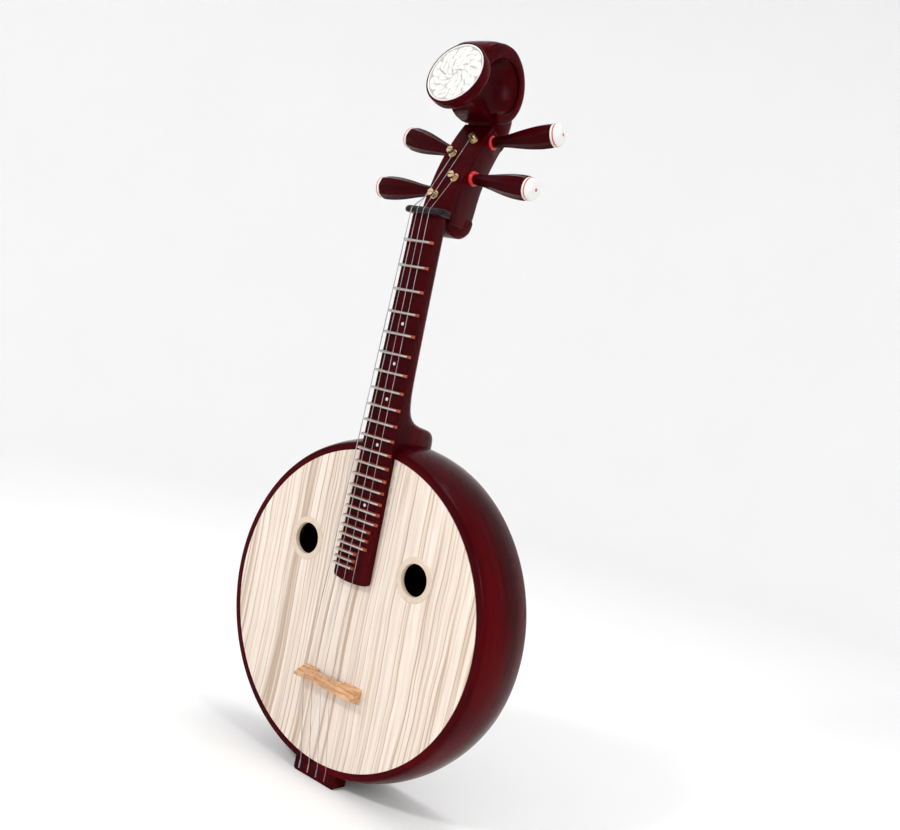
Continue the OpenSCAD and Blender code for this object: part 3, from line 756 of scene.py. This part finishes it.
def pegs():
    collar_end = 14.8
    length = 72
    for i in range(1, 5):
        spot = peg_frame(i)
        rows = [(0, 5.2, 0.1), (0.8, 5.7, 0.3), (5, 5.9, 0.7), (12, 6.5, 1), (22, 8.0, 1), (34, 10.2, 1),
                (46, 12.0, 1), (56, 12.9, 1), (64, 13.1, 1), (70, 12.9, 1), (71.4, 12.6, 0.95),
                (72, 12.0, 0.8)]
        rows = [(collar_end + h, r, keen) for h, r, keen in smooth(rows, 3)]
        add(f"peg_handle_{i}_carved", fluted(rows), PEG_LACQUER, f"peg_{i}",
            [f"peg_handle_{i}"], matrix=spot, sharp=16)
        base = collar_end + length
        cap = [(0, 0), (12.0, 0), (12.05, 0.4), (12.05, 2.1), (11.7, 2.3), (11.6, 3.5), (11.75, 3.7),
               (11.2, 5.6), (9.9, 7.6), (7.6, 9.0), (4.6, 9.75), (2.2, 9.9), (0, 9.9)]
        add(f"peg_cap_{i}_turned", lathe([(r, base + h) for r, h in cap], 64), BONE, f"peg_{i}",
            [f"peg_cap_{i}"], matrix=spot, sharp=40)
        line = [(11.4, 2.2), (12.0, 2.3), (12.05, 2.9), (12.0, 3.5), (11.4, 3.6)]
        add(f"peg_cap_{i}_line", lathe([(r, base + h) for r, h in line], 64, closed=True), RED_LINE,
            f"peg_{i}", matrix=spot)
        dot = [(0, 9.4), (1.9, 9.4), (2.0, 9.85), (1.7, 9.97), (0, 9.99)]
        add(f"peg_cap_{i}_dot", lathe([(r, base + h) for r, h in dot], 32), RED_LINE,
            f"peg_{i}", matrix=spot)
    skins = []
    for i in range(1, 5):
        line = [(3.1, 9.6), (8.0, 9.6), (8.0, 12.6), (7.8, 13.6), (7.1, 14.3), (6.2, 14.5), (3.1, 14.5)]
        verts, faces = lathe(line, 64, closed=True)
        spot = peg_frame(i)
        skins.append(([spot @ (Vector(v) * MM) for v in verts], faces))
    add("peg_collar_rings", together(skins), RED, nodes=["peg_collars"], sharp=50)


def posts():
    for i in range(1, 5):
        for node, width in ((f"string_post_{i}", 0.25), (f"worm_wheel_{i}", 0.1)):
            finish_node(node, BRASS, width)
        finish_node(f"worm_shaft_{i}", STEEL, 0)


def finish_node(node, look, width=0.0, angle=40):
    """Gives a carried-over CAD node its material, and rounded edges of that width in millimetres."""
    piece = frame["nodes"][node]
    piece.data.materials.clear()
    piece.data.materials.append(look)
    for face in piece.data.polygons:
        face.material_index = 0
    if width:
        bevel(piece, width, 2, angle)


# ---------- strings, bridge and tail ----------

def post_side(i):
    """Where string i leaves its post: the sideways place, and the sign of that side."""
    station = STRING_STATION[i]
    middle = 9 if station in (1, 3) else -9
    outward = 1 if i in (0, 3) else -1
    return middle + math.copysign(1, middle) * outward * (WAIST_R + 3 * STRING_R[i] + 0.25)


def rounded_path(points, steps=6, share=0.12, reach=3.0):
    """Straight stretches with each corner eased over a short curve; reach in millimetres."""
    points = [Vector(p) for p in points]
    out = [points[0]]
    for a, b, c in zip(points, points[1:], points[2:]):
        cut = reach * MM
        p = b + (a - b).normalized() * min(cut, (a - b).length * share)
        q = b + (c - b).normalized() * min(cut, (c - b).length * share)
        for t in np.linspace(0, 1, steps):
            out.append((1 - t) ** 2 * p + 2 * t * (1 - t) * b + t * t * q)
    out.append(points[-1])
    return out


def strings():
    for i in range(4):
        r = STRING_R[i]
        post = post_frame(STRING_STATION[i])
        end = post @ Vector((0, 0, WIND_H * MM))
        end.x = post_side(i) * MM
        path = [at(TAIL_X[i], -r - 0.1, TAIL_Z[1]), at(TAIL_X[i], -r - 0.1, TAIL_Z[0]),
                at(BRIDGE_X[i], -BRIDGE_H - r, CREST_Z), at(NUT_X[i], NUT_TOP_Y - r, NUT_Z + 1.4),
                at(NUT_X[i], NUT_TOP_Y - r, NUT_Z + 4.4), end]
        add(f"string_{i + 1}_wire", tube(rounded_path(path), r * MM, 12), STRING,
            nodes=[f"string_{i + 1}"], sharp=60)
        station = STRING_STATION[i]
        coil = []
        turns = 3
        for t in np.linspace(0, 1, 24 * turns + 1):
            a = 2 * math.pi * turns * t
            coil.append(((WAIST_R + r) * math.cos(a), (WAIST_R + r) * math.sin(a),
                         WIND_H + (t - 0.5) * 2 * r * turns * 0.9))
        verts, faces = tube(coil, r * 0.96, 8)
        add(f"winding_{station}_coil", (verts, faces), STRING, f"post_{station}",
            [f"string_winding_{station}"], matrix=post, sharp=60)


def silk_ends():
    for i in range(4):
        r = STRING_R[i] + 0.28
        path = [at(TAIL_X[i], -STRING_R[i] - 0.1, z) for z in np.linspace(TAIL_Z[0] - 3, TAIL_Z[1], 10)]
        skin = tube(path, r * MM, 12)
        add(f"silk_end_{i + 1}", skin, SILKS[i], nodes=["silk_ends"] if i == 0 else [],
            sharp=60)


def bridge():
    """Bamboo bar with two feet, a shallow arch and a narrow crest."""
    lo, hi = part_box("bridge")
    half = (hi.x - lo.x) / 2 / MM
    rings = []
    under = [(-half, 0), (-22.6, 0), (-21.4, 3.2), (-20.6, 4), (16.6, 4), (17.4, 3.2), (18.6, 0), (half, 0)]
    for x, arch in under:
        rings.append([at(x, -arch, -92 + arch * 0.353), at(x, -BRIDGE_H + 0.9, -86.3),
                      at(x, -BRIDGE_H, -85.7), at(x, -BRIDGE_H, -83.3),
                      at(x, -BRIDGE_H + 0.9, -82.6), at(x, -6, -77.8),
                      at(x, -arch, -75 - arch * 0.47)])
    piece = add("bridge_bar", loft(rings), BAMBOO, nodes=["bridge"], sharp=30)
    bevel(piece, 0.35, 2, 40)


def tail_block():
    corners = arc(-27, -188, 4, 180, 270, 8) + arc(28.5, -189.5, 2.5, 270, 360, 6)
    outline = corners + arc(0, 0, BOARD_R + 7.4, 279.9, 260.1, 9)
    rings = [[at(x, y, z) for x, z in outline] for y in (0.0, 20.0)]
    piece = add("tail_block_shaped", loft(rings), LACQUER, nodes=["tail_block"])
    bevel(piece, 1.0, 3)


# ---------- whole object ----------

side_rim()
hole_rings()
neck()
fingerboard()
frets()
nut()
pegbox()
scroll_band()
scroll_root()
scroll_bowls()
medallion()
pegs()
posts()
strings()
silk_ends()
bridge()
tail_block()
for inner in ("front_lining", "back_lining", "neck_block", "tail_inner_block", "soundboard_braces",
              "back_braces", "sound_post"):
    finish_node(inner, RAW_WOOD)
finish_node("soundboard", SOUNDBOARD)
finish_node("back_board", BACK_LACQUER)
finish_node("position_dots", PEARL)
finish_node("post_bushings", BRASS, 0.12)
finish_node("gear_brackets", BRASS, 0.2)


# ---------- stage, light and camera ----------

def stage():
    """Pale floor that curves up into a round backdrop."""
    look = Look("stage_paper", Specular_IOR_Level=0.0, Roughness=0.9)
    tone = look.ramp(look.noise(look.place, 3, 2), [(0, (0.92, 0.92, 0.92)), (1, (0.94, 0.94, 0.94))])
    look.set("Base Color", tone)
    line = [(0, 0), (1.2, 0), (1.8, 0)] + [(1.8 + 1.2 * math.sin(t), 1.2 - 1.2 * math.cos(t))
                                          for t in np.linspace(0.1, math.pi / 2, 14)] + [(3.0, 3.4)]
    verts, faces = lathe(line, 96)
    mesh = bpy.data.meshes.new("backdrop")
    mesh.from_pydata(verts, [], faces)
    mesh.shade_smooth()
    mesh.materials.append(look.material)
    drop = bpy.data.objects.new("backdrop", mesh)
    bpy.context.scene.collection.objects.link(drop)


def lamp(name, spot, aim, size, power, shape="RECTANGLE", tall=None):
    light = bpy.data.lights.new(name, "AREA")
    light.shape = shape
    light.size = size
    light.size_y = tall or size
    light.energy = power
    obj = bpy.data.objects.new(name, light)
    bpy.context.scene.collection.objects.link(obj)
    obj.location = spot
    obj.rotation_euler = (Vector(aim) - Vector(spot)).to_track_quat("-Z", "Y").to_euler()


def lights():
    world = bpy.data.worlds.new("studio")
    bpy.context.scene.world = world
    world.use_nodes = True
    world.node_tree.nodes["Background"].inputs[0].default_value = (1, 1, 1, 1)
    world.node_tree.nodes["Background"].inputs[1].default_value = 0.74
    lamp("key", (-0.5, -1.9, 1.9), (0, 0, 0.45), 0.36, 24)
    lamp("side", (2.0, -0.5, 1.3), (0, 0, 0.4), 0.25, 11, tall=0.9)
    lamp("top", (0.2, 0.3, 2.3), (0, 0, 0.4), 0.8, 11)


def camera():
    data = bpy.data.cameras.new("camera")
    data.sensor_width = 36
    data.lens = 44.45
    obj = bpy.data.objects.new("camera", data)
    bpy.context.scene.collection.objects.link(obj)
    obj.location = (0.7788, -0.8978, 0.4985)
    obj.rotation_euler = [math.radians(a) for a in (86.10, -12.04, 38.97)]
    bpy.context.scene.camera = obj


stage()
lights()
camera()
bpy.context.scene.view_settings.view_transform = "Standard"
